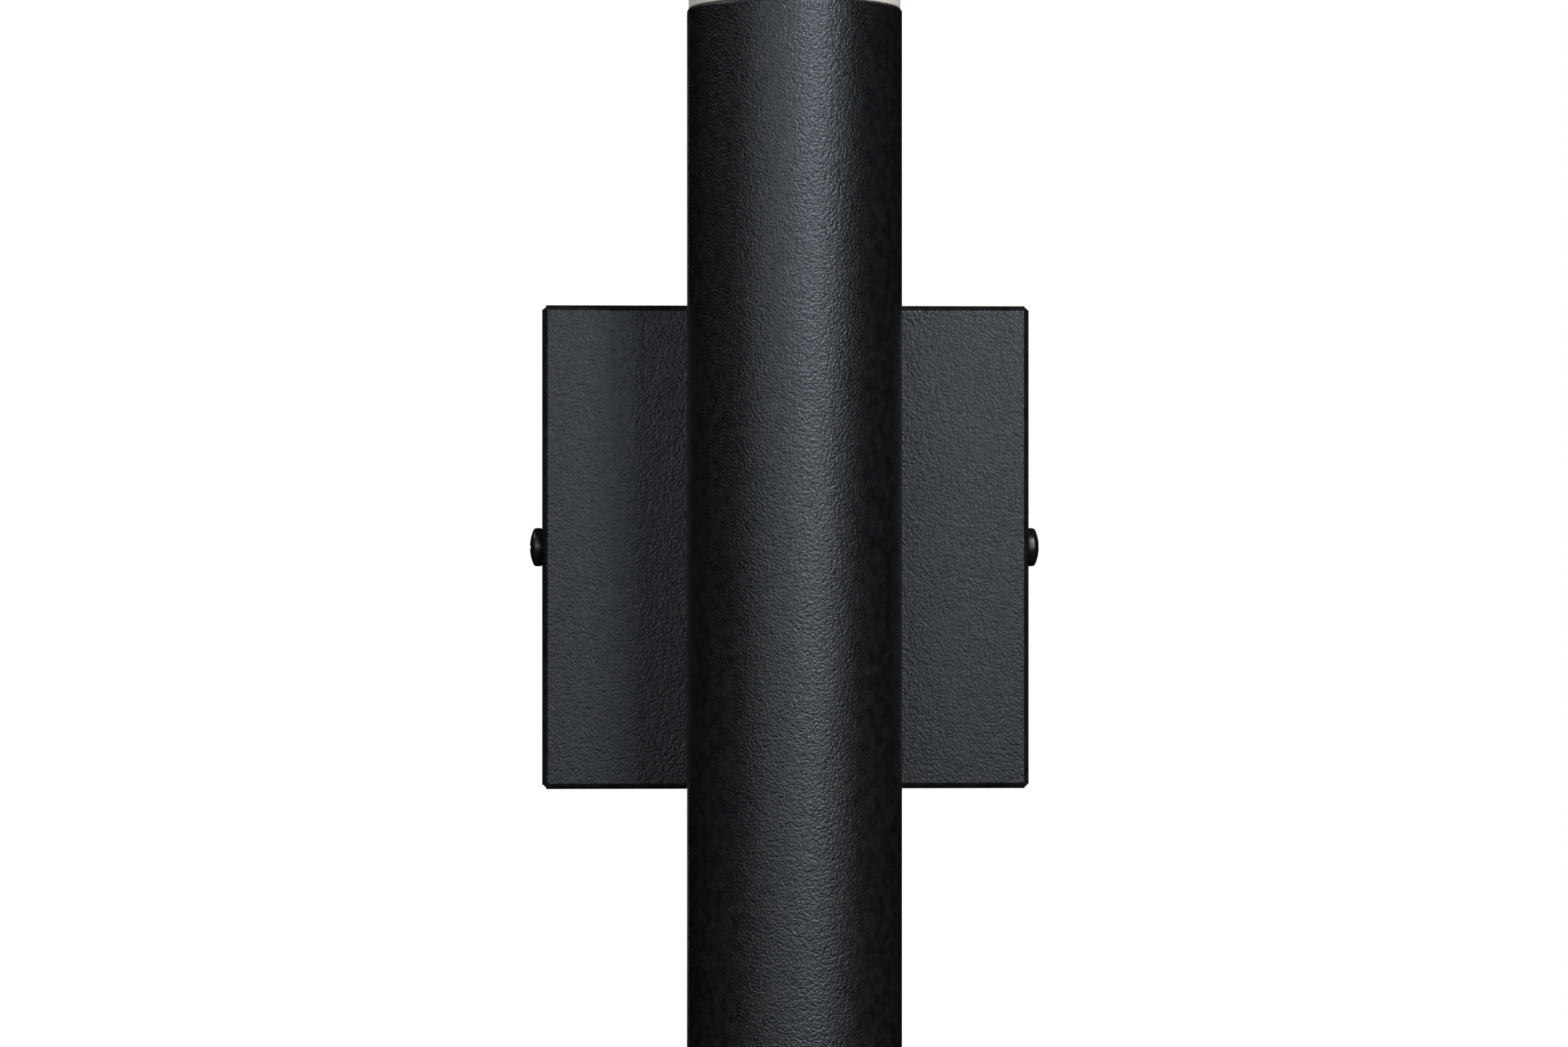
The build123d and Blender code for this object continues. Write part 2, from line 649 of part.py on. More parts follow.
os.makedirs("parts", exist_ok=True)
for name, piece in single_pieces.items():
    export_step(piece, f"parts/{name}.step")
for name, piece in end_pieces.items():
    export_step(piece, f"parts/{name}_top.step")
    export_step(mirror(piece, about=Plane.XY), f"parts/{name}_bottom.step")
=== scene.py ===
import bmesh
import bpy
import json
from math import atan, atan2, cos, degrees, pi, radians, sin, sqrt, tan
from mathutils import Matrix, Vector


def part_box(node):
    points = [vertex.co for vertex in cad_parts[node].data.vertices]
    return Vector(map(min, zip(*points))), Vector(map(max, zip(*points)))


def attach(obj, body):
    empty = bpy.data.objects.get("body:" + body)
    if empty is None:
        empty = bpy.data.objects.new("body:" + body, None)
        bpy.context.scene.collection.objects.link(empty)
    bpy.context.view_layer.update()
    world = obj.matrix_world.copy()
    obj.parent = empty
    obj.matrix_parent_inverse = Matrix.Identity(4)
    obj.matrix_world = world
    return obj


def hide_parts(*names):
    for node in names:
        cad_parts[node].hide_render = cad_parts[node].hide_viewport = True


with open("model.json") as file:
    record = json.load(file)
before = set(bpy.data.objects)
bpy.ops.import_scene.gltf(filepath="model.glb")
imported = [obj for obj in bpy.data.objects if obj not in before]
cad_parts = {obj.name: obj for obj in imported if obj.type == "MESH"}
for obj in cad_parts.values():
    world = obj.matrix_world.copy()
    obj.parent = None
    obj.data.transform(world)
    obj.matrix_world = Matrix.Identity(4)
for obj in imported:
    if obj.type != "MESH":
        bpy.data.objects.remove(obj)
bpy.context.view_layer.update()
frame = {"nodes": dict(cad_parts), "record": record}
mm = 0.001

# ============================================================
# The photograph's viewpoint
# A long lens held level, 1.15 m in front of the canopy and a little left of the light's
# middle, so that the sleeve stands a little right of the canopy's middle.
# ============================================================
photo_width = 2220
photo_height = 1482
focal_length_px = 6613
canopy_middle_px = (1113.3, 774.5)
sensor_width = 36.0
camera_x = -48.7 * mm
camera_y = -1169.8 * mm
nearest_seen = 50 * mm


def add_object(name, data):
    """Puts a mesh, lamp or camera in the scene as an object at the origin."""
    added = bpy.data.objects.new(name, data)
    bpy.context.scene.collection.objects.link(added)
    return added


canopy_low, canopy_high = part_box("canopy")
lens_data = bpy.data.cameras.new("viewpoint")
lens_data.sensor_width = sensor_width
lens_data.lens = sensor_width * focal_length_px / photo_width
lens_data.shift_y = (canopy_middle_px[1] - photo_height / 2) / photo_width
lens_data.clip_start = nearest_seen
camera = add_object("viewpoint", lens_data)
bpy.context.scene.camera = camera
bpy.context.scene.view_settings.view_transform = "Standard"
turn_to_canopy = atan2(-camera_x, canopy_low.y - camera_y)
turn_in_picture = atan2(canopy_middle_px[0] - photo_width / 2, focal_length_px)
camera.location = (camera_x, camera_y, 0)
camera.rotation_euler = (pi / 2, 0, turn_in_picture - turn_to_canopy)


# ============================================================
# Floor
# A pale matt disc well below the light, which fades into the white background at its rim.
# Nothing mirrors it, as if a black flag stood in between.
# ============================================================
floor_below_wall_mount = 450 * mm
floor_radius = 700 * mm
floor_fade_from = 380 * mm
floor_fade_to = 0.98 * floor_radius
floor_glow = 0.4


def linear(hex_colour):
    """An sRGB hex colour as the linear colour that a socket takes."""
    channels = [int(hex_colour[i:i + 2], 16) / 255 for i in (1, 3, 5)]
    return [c / 12.92 if c <= 0.04045 else ((c + 0.055) / 1.055) ** 2.4 for c in channels] + [1.0]


def add_node(tree, kind, inputs=None, **settings):
    """Adds a node with its settings. An input is a value, or the output socket that feeds it."""
    node = tree.nodes.new(kind)
    for setting, value in settings.items():
        setattr(node, setting, value)
    for socket, value in (inputs or {}).items():
        if isinstance(value, bpy.types.NodeSocket):
            tree.links.new(value, node.inputs[socket])
        else:
            node.inputs[socket].default_value = value
    return node


def new_finish(name, sockets):
    """A material for one finish, with what is the same all over set on the shader's own sockets."""
    finish = bpy.data.materials.new(name)
    finish.use_nodes = True
    shader = finish.node_tree.nodes["Principled BSDF"]
    for socket, value in sockets.items():
        shader.inputs[socket].default_value = value
    return finish, shader


def when_seen(tree):
    """1 for a ray from the camera or one that a surface mirrors or lets through, and 0 for the rest."""
    ray = add_node(tree, "ShaderNodeLightPath")
    clear = add_node(tree, "ShaderNodeMath", {
        0: ray.outputs["Is Camera Ray"], 1: ray.outputs["Is Transmission Ray"]}, operation="MAXIMUM")
    mirrored = add_node(tree, "ShaderNodeMath", {
        0: clear.outputs["Value"], 1: ray.outputs["Is Glossy Ray"]}, operation="MAXIMUM")
    return mirrored.outputs["Value"]


def pale_floor_paint():
    """Matt paint, kept pale where it is seen, and see-through towards the rim of the disc."""
    finish, shader = new_finish("matt_floor_paint", {
        "Base Color": linear("#E9E9E8"), "Roughness": 0.9, "Emission Color": linear("#FFFFFF")})
    tree = finish.node_tree
    glow = add_node(tree, "ShaderNodeMath", {0: when_seen(tree), 1: floor_glow}, operation="MULTIPLY")
    tree.links.new(glow.outputs["Value"], shader.inputs["Emission Strength"])
    place = add_node(tree, "ShaderNodeTexCoord")
    distance = add_node(tree, "ShaderNodeVectorMath", {0: place.outputs["Object"]}, operation="LENGTH")
    fade = add_node(tree, "ShaderNodeMapRange", {
        "Value": distance.outputs["Value"], "From Min": floor_fade_from, "From Max": floor_fade_to},
        interpolation_type="SMOOTHSTEP")
    clear = add_node(tree, "ShaderNodeBsdfTransparent")
    mixed = add_node(tree, "ShaderNodeMixShader", {
        0: fade.outputs["Result"], 1: shader.outputs["BSDF"], 2: clear.outputs["BSDF"]})
    tree.links.new(mixed.outputs["Shader"], tree.nodes["Material Output"].inputs["Surface"])
    return finish


floor_shape = bmesh.new()
bmesh.ops.create_circle(floor_shape, cap_ends=True, radius=floor_radius, segments=96)
floor_mesh = bpy.data.meshes.new("floor")
floor_shape.to_mesh(floor_mesh)
floor_mesh.materials.append(pale_floor_paint())
floor = add_object("floor", floor_mesh)
floor.location = (0, 0, -floor_below_wall_mount)
floor.visible_glossy = False

# ============================================================
# Light
# Softboxes in front, the right ones stronger, stand in a tent of black flags with an opening
# behind, where the light's rims catch the white background. High softboxes and two snoots
# light the other sides. The world is that background and a soft fill.
# ============================================================
light_target = Vector((0, -40 * mm, 0))
fill_strength = 0.2
softbox_distance = 2.0
snoot_distance = 1.2
snoot_level = 0.5
snoot_reach = 0.55
snoot_blend = 0.4
snoot_mouth = 20 * mm
snoot_way = (0.5, 0.86, -0.08)
tent_radius = 3.2
tent_open_behind = radians(13)


def hang_lamp(name, data, target, out, distance):
    """Hangs a lamp out from its target, and turns it there."""
    lamp = add_object(name, data)
    lamp.location = target + out * distance
    lamp.rotation_euler = out.to_track_quat("Z", "Y").to_euler()
    return lamp


def softbox(name, azimuth, elevation, wide, high, radiance):
    """An area lamp turned to the light, in degrees: azimuth is 0 in front and positive to the right."""
    data = bpy.data.lights.new(name, "AREA")
    data.shape = "RECTANGLE"
    data.size = 2 * softbox_distance * tan(radians(wide) / 2)
    data.size_y = 2 * softbox_distance * tan(radians(high) / 2)
    data.energy = radiance * pi * data.size * data.size_y
    a, e = radians(azimuth), radians(elevation)
    out = Vector((sin(a) * cos(e), -cos(a) * cos(e), sin(e)))
    lamp = hang_lamp(name, data, light_target, out, softbox_distance)
    lamp.visible_camera = False
    return lamp


def rear_snoot(side):
    """A spot from behind, no wider than the canopy, that shows the bracket and the canopy's inside."""
    data = bpy.data.lights.new("rear_snoot", "SPOT")
    data.spot_size = 2 * atan(snoot_reach * canopy_high.x / snoot_distance)
    data.spot_blend = snoot_blend
    data.shadow_soft_size = snoot_mouth
    data.energy = 4 * pi * pi * snoot_level * snoot_distance ** 2
    across, back, up = snoot_way
    out = Vector((side * across, back, up)).normalized()
    hang_lamp("rear_snoot", data, Vector((0, 0, 0)), out, snoot_distance)


for name, azimuth, elevation, wide, high, radiance in (
        ("tall_right_strip", 21, 33, 6, 35, 33),
        ("low_right_softbox", 15, 3, 8, 10, 14.5),
        ("far_right_softbox", 38, 5, 13, 8, 5.4),
        ("left_softbox", -13, 6.5, 14, 13.5, 5.5),
        ("high_left_softbox", -35.5, 16, 17, 28, 2.2),
        ("left_back_softbox", -97, 40, 26, 22, 2.6)):
    softbox(name, azimuth, elevation, wide, high, radiance)
for azimuth in (-150, 130):
    # Not mirrored, so that they draw no line along the canopy's bends.
    softbox("rear_softbox", azimuth, 54, 30, 21, 5.5).visible_glossy = False
for side in (-1, 1):
    rear_snoot(side)

world = bpy.data.worlds.new("white_studio")
bpy.context.scene.world = world
world.use_nodes = True
world_tree = world.node_tree
fill = world_tree.nodes["Background"]
fill.inputs["Color"].default_value = linear("#FFFFFF")
fill.inputs["Strength"].default_value = fill_strength
white = add_node(world_tree, "ShaderNodeBackground", {"Color": linear("#FFFFFF"), "Strength": 1.0})
world_mix = add_node(world_tree, "ShaderNodeMixShader", {
    0: when_seen(world_tree), 1: fill.outputs["Background"], 2: white.outputs["Background"]})
world_tree.links.new(world_mix.outputs["Shader"], world_tree.nodes["World Output"].inputs["Surface"])

tent_shape = bmesh.new()
bmesh.ops.create_icosphere(tent_shape, subdivisions=4, radius=tent_radius)
behind = [face for face in tent_shape.faces if face.calc_center_median().angle((0, 1, 0)) < tent_open_behind]
bmesh.ops.delete(tent_shape, geom=behind, context="FACES")
tent_mesh = bpy.data.meshes.new("black_flags")
tent_shape.to_mesh(tent_mesh)
black_velvet, _ = new_finish("black_velvet", {
    "Base Color": linear("#050505"), "Roughness": 1.0, "Specular IOR Level": 0.0})
tent_mesh.materials.append(black_velvet)
tent = add_object("black_flags", tent_mesh)
tent.visible_camera = False
tent.visible_diffuse = False
tent.visible_transmission = False
tent.visible_shadow = False

# ============================================================
# Canopy
# Sheet steel folded into a shallow box that hides the wall box, then powder coated black. Its
# four flanges bend back from the front, which is pressed flat up to the bend, and leave an open
# notch at each corner.
# ============================================================
sheet_thickness = 1.2 * mm
inside_bend = 1.0 * mm
outside_bend = 2.9 * mm
bend_steps = 10
pressed_flat_to = 28.0
notch_half_width = 0.65 * mm
notch_depth = 1.0 * mm
cut_edge = 0.15 * mm
screw_hole = 5.6 * mm
bushing_hole = 12.2 * mm
arm_screw_height = 22.0 * mm
merge_within = 0.002 * mm
grain_span = (0.3, 0.7)
tint_span = (0.35, 0.65)

bodies = frame["record"]["behaviour"]["bodies"]
body_of = {node: body for body, nodes in bodies.items() for node in nodes}


def patches(tree, size, detail=2.0, stretch=(1, 1, 1)):
    """Soft random patches about as wide as size, which stay where they are on the piece."""
    place = add_node(tree, "ShaderNodeTexCoord")
    scaled = add_node(tree, "ShaderNodeMapping", {"Vector": place.outputs["Object"], "Scale": stretch})
    noise = add_node(tree, "ShaderNodeTexNoise", {
        "Vector": scaled.outputs["Vector"], "Scale": 1 / size, "Detail": detail})
    return noise.outputs["Fac"]


def add_grain(shader, size, height, roughness, stretch=(1, 1, 1)):
    """Raises grains about as wide as size, with a roughness that differs from grain to grain."""
    tree = shader.id_data
    grains = patches(tree, size, stretch=stretch)
    bump = add_node(tree, "ShaderNodeBump", {"Height": grains, "Distance": height, "Strength": 1.0})
    tree.links.new(bump.outputs["Normal"], shader.inputs["Normal"])
    spread = add_node(tree, "ShaderNodeMapRange", {
        "Value": grains, "From Min": grain_span[0], "From Max": grain_span[1],
        "To Min": roughness[0], "To Max": roughness[1]})
    tree.links.new(spread.outputs["Result"], shader.inputs["Roughness"])


def add_tint(shader, size, colours, detail=2.0):
    """Lets a finish drift between two colours in soft patches about as wide as size."""
    tree = shader.id_data
    ramp = add_node(tree, "ShaderNodeValToRGB", {"Fac": patches(tree, size, detail)})
    for element, colour, place_on_ramp in zip(ramp.color_ramp.elements, colours, tint_span):
        element.color = linear(colour)
        element.position = place_on_ramp
    tree.links.new(ramp.outputs["Color"], shader.inputs["Base Color"])


def black_powder_coat(name, specular, grain):
    """Fine-textured polyester powder, sprayed and baked: satin black, with grains that glitter softly."""
    finish, shader = new_finish(name, {
        "IOR": 1.5, "Specular IOR Level": specular, "Specular Tint": linear("#E4F0FF")})
    add_tint(shader, 2.5 * mm, ("#0B0C0F", "#1B1917"), detail=5.0)
    add_grain(shader, 0.62 * mm, grain, roughness=(0.27, 0.39))
    return finish


def seat(piece, finish, *nodes, soften=0.0, sharp_over=35):
    """Shades a piece, gives it its finish and puts it in place of the nodes that it stands for."""
    if finish:
        piece.data.materials.clear()
        piece.data.materials.append(finish)
    piece.data.shade_smooth()
    piece.data.set_sharp_from_angle(angle=radians(sharp_over))
    if soften:
        rounding = piece.modifiers.new("soft_edges", "BEVEL")
        rounding.width = soften
        rounding.segments = 2
        rounding.limit_method = "ANGLE"
        rounding.angle_limit = radians(sharp_over)
    weighted = piece.modifiers.new("flat_faces_stay_flat", "WEIGHTED_NORMAL")
    weighted.keep_sharp = True
    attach(piece, body_of[nodes[0]])
    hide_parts(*nodes)


def mesh_from(name, vertices, faces):
    """A closed mesh: doubles merged, thin faces dropped and normals outwards."""
    shape = bmesh.new()
    corners = [shape.verts.new(v) for v in vertices]
    for face in faces:
        around = []
        for i in face:
            if corners[i] not in around:
                around.append(corners[i])
        shape.faces.new(around)
    bmesh.ops.remove_doubles(shape, verts=shape.verts, dist=merge_within)
    bmesh.ops.dissolve_degenerate(shape, edges=shape.edges, dist=merge_within)
    bmesh.ops.recalc_face_normals(shape, faces=shape.faces)
    mesh = bpy.data.meshes.new(name)
    shape.to_mesh(mesh)
    shape.free()
    return mesh


def loft(name, rings, cap_first=True, cap_last=True):
    """Joins rings of as many points each with quads, and closes the first and last."""
    count = len(rings[0])
    vertices = [point for ring in rings for point in ring]
    faces = []
    for r in range(len(rings) - 1):
        for i in range(count):
            j = (i + 1) % count
            faces.append((r * count + i, r * count + j, (r + 1) * count + j, (r + 1) * count + i))
    if cap_first:
        faces.append(tuple(range(count)))
    if cap_last:
        faces.append(tuple((len(rings) - 1) * count + i for i in range(count)))
    return mesh_from(name, vertices, faces)


def cut_away(mesh, cutters):
    """Takes other closed meshes out of a mesh."""
    piece = add_object("being_cut", mesh)
    tools = []
    for cutter in cutters:
        tool = add_object("cutter", cutter)
        tools.append(tool)
        difference = piece.modifiers.new("cut", "BOOLEAN")
        difference.object = tool
        difference.solver = "EXACT"
    done = bpy.data.meshes.new_from_object(piece.evaluated_get(bpy.context.evaluated_depsgraph_get()))
    done.name = mesh.name
    for used in [piece] + tools:
        bpy.data.objects.remove(used)
    return done


def about_z(radius, angle, height):
    """A point at some turn about local Z."""
    return Vector((radius * cos(angle), radius * sin(angle), height))


def turned(name, profile, steps, place=Matrix.Identity(4)):
    """A turned piece: a closed outline of (radius, height) points spun round the local Z axis."""
    rings = []
    for i in range(steps):
        rings.append([place @ about_z(r, 2 * pi * i / steps, h) for r, h in profile])
    return loft(name, rings + rings[:1], cap_first=False, cap_last=False)


def along(axis, at):
    """Puts local Z along a direction, at a point."""
    return Matrix.Translation(at) @ Vector(axis).to_track_quat("Z", "Y").to_matrix().to_4x4()


def canopy_ring(inset, y, notched=True):
    """The canopy's outline at one depth, four points a corner, drawn in by inset."""
    half_width = canopy_high.x - inset
    half_height = canopy_high.z - inset
    wide = min(notch_half_width, max(0, notch_depth - inset * sqrt(2))) if notched else 0
    deep = max(0, notch_depth - inset * sqrt(2) - wide) / sqrt(2) if notched else 0
    step = wide * sqrt(2)
    ring = []
    for side_x, side_z in ((1, 1), (-1, 1), (-1, -1), (1, -1)):
        corner = [
            (half_width, half_height - step),
            (half_width - deep, half_height - step - deep),
            (half_width - step - deep, half_height - deep),
            (half_width - step, half_height)]
        if side_x * side_z < 0:
            corner.reverse()
        ring += [(side_x * x, y, side_z * z) for x, z in corner]
    return ring


front_y = canopy_low.y
rings = []
first_y = front_y - outside_bend * (1 - cos(radians(pressed_flat_to)))
for i in range(bend_steps + 1):
    angle = radians(pressed_flat_to + (90 - pressed_flat_to) * i / bend_steps)
    rings.append(canopy_ring(outside_bend * (1 - sin(angle)), first_y + outside_bend * (1 - cos(angle))))
rings.append(canopy_ring(0, -cut_edge))
rings.append(canopy_ring(cut_edge, 0))
rings.append(canopy_ring(sheet_thickness - cut_edge, 0, notched=False))
rings.append(canopy_ring(sheet_thickness, -cut_edge, notched=False))
for i in range(bend_steps, -1, -1):
    angle = radians(90) * i / bend_steps
    rings.append(canopy_ring(
        sheet_thickness + inside_bend * (1 - sin(angle)),
        front_y + sheet_thickness + inside_bend * (1 - cos(angle)), notched=False))
canopy_mesh = loft("canopy", rings)


def drill(diameter, at, to, steps=40):
    """A round cutter between two points."""
    depth = (Vector(to) - Vector(at)).length
    outline = [(0, 0), (diameter / 2, 0), (diameter / 2, depth), (0, depth)]
    return turned("drill", outline, steps, along(Vector(to) - Vector(at), at))


def middle_of(node):
    """Middle of a node's box."""
    low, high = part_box(node)
    return (low + high) / 2


side_screw_y = middle_of("canopy_screw_right").y
holes = [drill(screw_hole, (-2 * canopy_high.x, side_screw_y, 0), (2 * canopy_high.x, side_screw_y, 0))]
for z, diameter in ((-arm_screw_height, screw_hole), (0, bushing_hole), (arm_screw_height, screw_hole)):
    holes.append(drill(diameter, (0, 2 * front_y, z), (0, 0, z)))
canopy_coat = black_powder_coat("fine_texture_black_powder_coat", specular=0.5, grain=0.15 * mm)
seat(add_object("folded_canopy", cut_away(canopy_mesh, holes)), canopy_coat, "canopy")

# ============================================================
# Side screws of the canopy
# Two M5 pan head screws with a cross recess, blackened steel. Each goes through a flange
# of the canopy into the wall bracket's ear, and comes out to take the canopy off.
# ============================================================
m5_thread = 5.0 * mm
m5_pitch = 0.8 * mm
m5_head = 9.5 * mm
m5_head_height = 3.1 * mm
dome_edge_angle = 26.0
rim_rounding = 0.9 * mm
round_steps = 32
thread_rows_a_turn = 4
thread_depth_in_pitches = 0.55
recess_depth = 0.2
recess_reach = (0.25, 0.22, 0.10)
recess_blade = (0.06, 0.055, 0.04)


def round_corner(middle, radius, from_angle, to_angle, steps):
    """Points of an arc in an outline of (radius, height), angles in degrees from outwards to upwards."""
    points = []
    for i in range(steps + 1):
        angle = radians(from_angle + (to_angle - from_angle) * i / steps)
        points.append((middle[0] + radius * cos(angle), middle[1] + radius * sin(angle)))
    return points


def bar_ring(radius, height, first=0.0):
    """Points of a circle about local Z. The first is turned by that many steps."""
    return [about_z(radius, 2 * pi * (i + first) / round_steps, height) for i in range(round_steps)]


def pan_head_outline(head, height, rounding):
    """Outline of a pan head as (radius, height), from the middle of its dome to its underside."""
    radius = head / 2
    rise = radius * tan(radians(dome_edge_angle) / 2)
    dome = (rise ** 2 + radius ** 2) / (2 * rise)
    corner_height = height - dome + sqrt((dome - rounding) ** 2 - (radius - rounding) ** 2)
    meets = degrees(atan2(corner_height - height + dome, radius - rounding))
    outline = round_corner((0, height - dome), dome, 90, meets, 6)
    outline += round_corner((radius - rounding, corner_height), rounding, meets, 0, 4)
    outline += round_corner((radius - rounding / 2, rounding / 2), rounding / 2, 0, -90, 4)
    return outline


def threaded_rings(thread, pitch, start, end, threaded_from):
    """Rings down a screw's shank, whose radius runs up and down as the thread winds round it."""
    rings = [bar_ring(thread / 2, start)]
    depth = thread_depth_in_pitches * pitch
    rows = int((threaded_from - end) / pitch * thread_rows_a_turn)
    for row in range(rows + 1):
        height = threaded_from - row * pitch / thread_rows_a_turn
        fade = min(1, row / thread_rows_a_turn, (height - end) / pitch)
        ring = []
        for i in range(round_steps):
            turn = i / round_steps
            wave = abs(2 * ((height / pitch - turn) % 1) - 1)
            cut = 1 - fade * (1 - wave) if height - end < pitch else fade * wave
            radius = thread / 2 - depth * cut
            ring.append(about_z(radius, 2 * pi * turn, height))
        rings.append(ring)
    rings.append(bar_ring(thread / 2 - depth, end))
    return rings


def cross_outline(reach, blade, height):
    """Twelve points of a cross."""
    quarter = [(reach, -blade), (reach, blade), (blade, blade)]
    points = []
    for i in range(4):
        c, s = cos(i * pi / 2), sin(i * pi / 2)
        points += [Vector((x * c - y * s, x * s + y * c, height)) for x, y in quarter]
    return points


def screw_shape(name, outline, thread, pitch, length, threaded, head):
    """A screw down local Z from its head's outline, with a winding thread and a tapered cross recess."""
    top = outline[0][1]
    start = outline[-1][1]
    threaded_from = max(-length + pitch, min(start, threaded - length))
    rings = [bar_ring(r, h) for r, h in outline]
    rings += threaded_rings(thread, pitch, start, -length, threaded_from)
    screw = loft(name, rings, cap_first=False)
    heights = (top + recess_depth * head, top, top - recess_depth * head)
    recess = loft("recess", [
        cross_outline(reach * head, blade * head, height)
        for reach, blade, height in zip(recess_reach, recess_blade, heights)])
    return cut_away(screw, [recess])


def group_tree(name, inputs):
    """An empty geometry tree with named inputs, and the sockets that they come out of."""
    tree = bpy.data.node_groups.new(name, "GeometryNodeTree")
    tree.interface.new_socket("Geometry", in_out="OUTPUT", socket_type="NodeSocketGeometry")
    for socket, kind in inputs.items():
        tree.interface.new_socket(socket, in_out="INPUT", socket_type=kind)
    return tree, add_node(tree, "NodeGroupInput").outputs


def close_tree(tree, instances, finish):
    """Ends a geometry tree: its instances are made real and get their finish."""
    real = add_node(tree, "GeometryNodeRealizeInstances", {"Geometry": instances.outputs["Instances"]})
    finished = add_node(tree, "GeometryNodeSetMaterial", {
        "Geometry": real.outputs["Geometry"], "Material": finish})
    add_node(tree, "NodeGroupOutput", {"Geometry": finished.outputs["Geometry"]})
    return tree


def screw_row():
    """Geometry tree: drives a screw in at every point, and leaves each at its own turn."""
    tree, given = group_tree("screw_row", {
        "Points": "NodeSocketGeometry", "Screw": "NodeSocketObject", "Heads Face": "NodeSocketVector",
        "Seed": "NodeSocketInt", "Finish": "NodeSocketMaterial"})
    screw = add_node(tree, "GeometryNodeObjectInfo", {"Object": given["Screw"]})
    facing = add_node(tree, "FunctionNodeAlignRotationToVector", {"Vector": given["Heads Face"]}, axis="Z")
    turn = add_node(tree, "FunctionNodeRandomValue", {
        2: 0.0, 3: 2 * pi, "Seed": given["Seed"]}, data_type="FLOAT")
    about_shank = add_node(tree, "ShaderNodeCombineXYZ", {"Z": turn.outputs[1]})
    spun = add_node(tree, "FunctionNodeEulerToRotation", {"Euler": about_shank.outputs["Vector"]})
    stopped = add_node(tree, "FunctionNodeRotateRotation", {
        "Rotation": facing.outputs["Rotation"],
        "Rotate By": spun.outputs["Rotation"]}, rotation_space="LOCAL")
    driven = add_node(tree, "GeometryNodeInstanceOnPoints", {
        "Points": given["Points"], "Instance": screw.outputs["Geometry"],
        "Rotation": stopped.outputs["Rotation"]})
    return close_tree(tree, driven, given["Finish"])


def grow(name, tree, inputs, points):
    """Runs a geometry tree on some points, and returns what it makes as a plain piece."""
    start = bpy.data.meshes.new(name)
    start.from_pydata(points, [], [])
    piece = add_object(name, start)
    growth = piece.modifiers.new("growth", "NODES")
    growth.node_group = tree
    for socket in tree.interface.items_tree:
        if socket.in_out == "INPUT" and socket.name in inputs:
            growth[socket.identifier] = inputs[socket.name]
    grown = bpy.data.meshes.new_from_object(piece.evaluated_get(bpy.context.evaluated_depsgraph_get()))
    piece.modifiers.clear()
    piece.data = grown
    return piece


def drive_screws(name, shape, places, heads_face, seed, finish, *nodes):
    """Puts copies of a screw at some places with a random turn each, and seats them as one piece."""
    pattern = add_object("screw_pattern", shape)
    row = grow(name, screw_row_tree, {
        "Screw": pattern, "Heads Face": heads_face, "Seed": seed, "Finish": finish}, places)
    bpy.data.objects.remove(pattern)
    seat(row, None, *nodes, sharp_over=50)


def blackened_steel():
    """Black oxide on steel, oiled: a thin dark skin that keeps the metal's satin shine."""
    finish, shader = new_finish("black_oxide_steel", {
        "Base Color": linear("#131314"), "IOR": 1.5, "Specular IOR Level": 0.6})
    add_grain(shader, 0.6 * mm, 0.006 * mm, roughness=(0.27, 0.33))
    return finish


screw_row_tree = screw_row()
black_oxide = blackened_steel()
m5_pan_head = pan_head_outline(m5_head, m5_head_height, rim_rounding)
for side, name in ((-1, "left"), (1, "right")):
    low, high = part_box(f"canopy_screw_{name}")
    length = high.x - low.x - m5_head_height
    shape = screw_shape("side_screw", m5_pan_head, m5_thread, m5_pitch, length, length, m5_head)
    place = (side * canopy_high.x, side_screw_y, 0)
    drive_screws(f"side_screw_{name}", shape, [place], (side, 0, 0), 3 + side, black_oxide,
                 f"canopy_screw_{name}")

# ============================================================
# Wall bracket, earth screw and washer
# A strap stamped from steel sheet and zinc plated, with two slots for the wall box, a hole
# for a lamp nipple and drawn threads in its ears. The earth screw is dyed green.
# ============================================================
stamped_edge = 0.2 * mm
washer_edge = 0.1 * mm
flat_within = radians(0.5)
m4_thread = 4.0 * mm
m4_pitch = 0.7 * mm
m4_head = 8.0 * mm
m4_head_height = 3.0 * mm
m4_rim_rounding = 0.4 * mm


def dress(node, name, finish, soften=0.0):
    """Seats a copy of a node as one skin: its triangles merged, and its flat faces whole again."""
    shape = bmesh.new()
    shape.from_mesh(frame["nodes"][node].data)
    bmesh.ops.remove_doubles(shape, verts=shape.verts, dist=merge_within)
    bmesh.ops.dissolve_limit(shape, angle_limit=flat_within, verts=shape.verts, edges=shape.edges)
    mesh = bpy.data.meshes.new(name)
    shape.to_mesh(mesh)
    shape.free()
    if "custom_normal" in mesh.attributes:
        mesh.attributes.remove(mesh.attributes["custom_normal"])
    seat(add_object(name, mesh), finish, node, soften=soften)


def zinc_plate():
    """Bright zinc with a clear passivate: cool grey metal that drifts faintly between blue and straw."""
    finish, shader = new_finish("clear_passivated_zinc_plate", {"Metallic": 1.0})
    add_tint(shader, 14 * mm, ("#B9BEC4", "#C9C7BD"))
    add_grain(shader, 0.8 * mm, 0.006 * mm, roughness=(0.26, 0.40))
    return finish


def green_dyed_zinc():
    """Zinc dyed green, as on earth screws: coloured metal with a satin shine."""
    finish, shader = new_finish("green_dyed_zinc", {"Base Color": linear("#3F8A55"), "Metallic": 0.85})
    add_grain(shader, 0.5 * mm, 0.005 * mm, roughness=(0.30, 0.42))
    return finish


